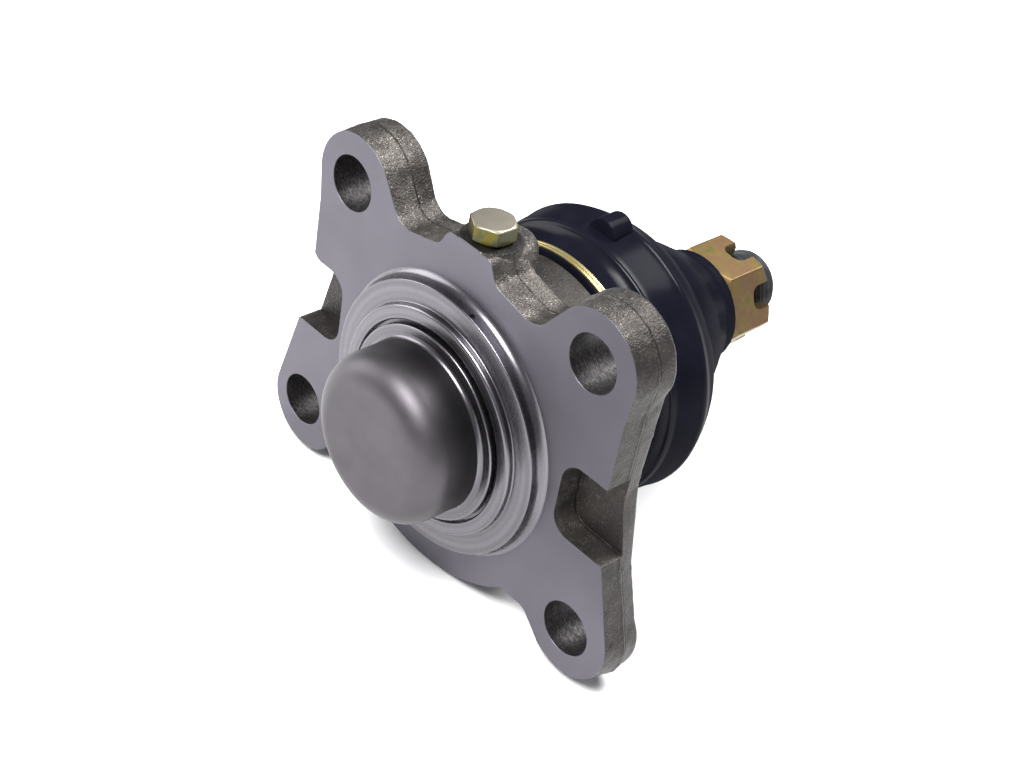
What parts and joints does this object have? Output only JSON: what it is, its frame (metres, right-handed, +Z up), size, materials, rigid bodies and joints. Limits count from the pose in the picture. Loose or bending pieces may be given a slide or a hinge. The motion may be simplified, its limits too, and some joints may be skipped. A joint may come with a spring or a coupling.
{
  "type": "suspension ball joint",
  "caption": "Bolt-on suspension ball joint: flanged housing with capped spigot, ball stud, rubber boot, castle nut and grease plug.",
  "frame": {"origin": "on the stud axis at the machined flange face, at the root of the spigot", "axes": "+Y along the stud, away from the capped spigot; +Z up towards the grease plug; +X to the right seen from the capped side"},
  "size_m": [0.1142, 0.1225, 0.0894],
  "materials": {
    "forged_steel": "shot-blasted forged steel with machined faces",
    "cap_steel": "satin pressed steel",
    "spring_steel": "oiled spring steel",
    "seat_steel": "sintered steel, greased",
    "stud_steel": "black phosphated steel",
    "boot_rubber": "satin moulded rubber",
    "clip_wire": "yellow passivated spring wire",
    "ring_steel": "bare steel",
    "nut_plate": "yellow iridescent zinc plate",
    "plug_plate": "pale yellow zinc plate"
  },
  "bodies": {
    "housing_group": {"housing": "forged_steel", "end_cap": "cap_steel", "preload_spring": "spring_steel", "upper_ball_seat": "seat_steel", "grease_plug": "plug_plate", "boot_clip": "clip_wire"},
    "turning_seat": {"lower_ball_seat": "seat_steel", "dust_boot": "boot_rubber"},
    "boot_neck": {"boot_neck_ring": "ring_steel"},
    "stud_group": {"ball_stud": "stud_steel", "castle_nut": "nut_plate"}
  },
  "joints": [
    {"name": "swing_direction", "type": "hinge", "parent": "housing_group", "child": "turning_seat", "pos_m": [0, 0.0055, 0], "axis": [0, 1, 0], "continuous": true},
    {"name": "stud_swing", "type": "hinge", "parent": "turning_seat", "child": "boot_neck", "pos_m": [0, 0.0055, 0], "axis": [1, 0, 0], "range_deg": [-20, 20], "deforming": ["dust_boot"]},
    {"name": "stud_spin", "type": "hinge", "parent": "boot_neck", "child": "stud_group", "pos_m": [0, 0.0055, 0], "axis": [0, 1, 0], "continuous": true}
  ]
}
